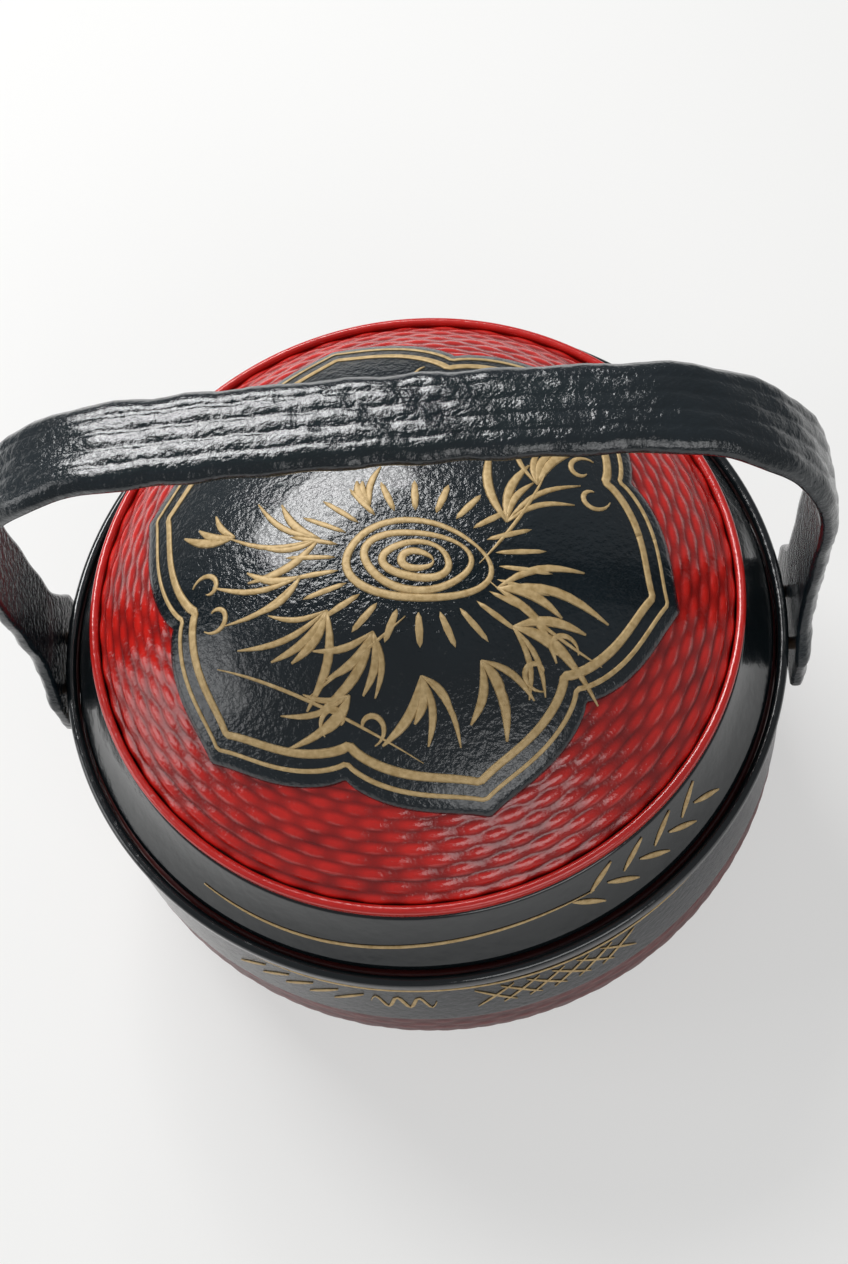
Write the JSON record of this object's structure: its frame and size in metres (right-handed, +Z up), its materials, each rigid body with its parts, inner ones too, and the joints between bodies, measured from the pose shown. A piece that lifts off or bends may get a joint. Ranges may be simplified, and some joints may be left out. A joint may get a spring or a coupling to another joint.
{
  "type": "wedding basket",
  "caption": "Round lacquered woven basket with a domed lift-off lid, a lobed black crown and an arched carrying handle.",
  "frame": {"origin": "on the floor under the centre of the foot hoop", "axes": "+X along the handle's bar, +Z up"},
  "size_m": [0.2672, 0.2566, 0.25],
  "materials": {
    "black_lacquer": "gloss lacquer",
    "red_lacquer": "gloss lacquer",
    "dull_red_lacquer": "satin lacquer",
    "bamboo": "bare split bamboo"
  },
  "bodies": {
    "basket": {"basket_wall": "dull_red_lacquer", "foot_hoop": "black_lacquer", "basket_floor": "red_lacquer", "rim_hoop": "black_lacquer", "mouth_hoop": "black_lacquer", "handle_strap": "black_lacquer", "handle_cane_1": "black_lacquer", "handle_cane_2": "black_lacquer", "handle_cane_3": "black_lacquer", "handle_cane_4": "black_lacquer", "handle_cane_5": "black_lacquer", "handle_peg_1": "bamboo", "handle_peg_2": "bamboo", "handle_peg_3": "bamboo", "handle_peg_4": "bamboo"},
    "lid": {"lid_dome": "red_lacquer", "lid_medallion": "black_lacquer", "lid_edge_hoop": "red_lacquer", "lid_skirt": "black_lacquer", "lid_inner_hoop": "dull_red_lacquer"}
  },
  "joints": [
    {"name": "lid_lift", "type": "slide", "parent": "basket", "child": "lid", "axis": [0, 0, 1], "range_m": [0, 0.05]}
  ]
}
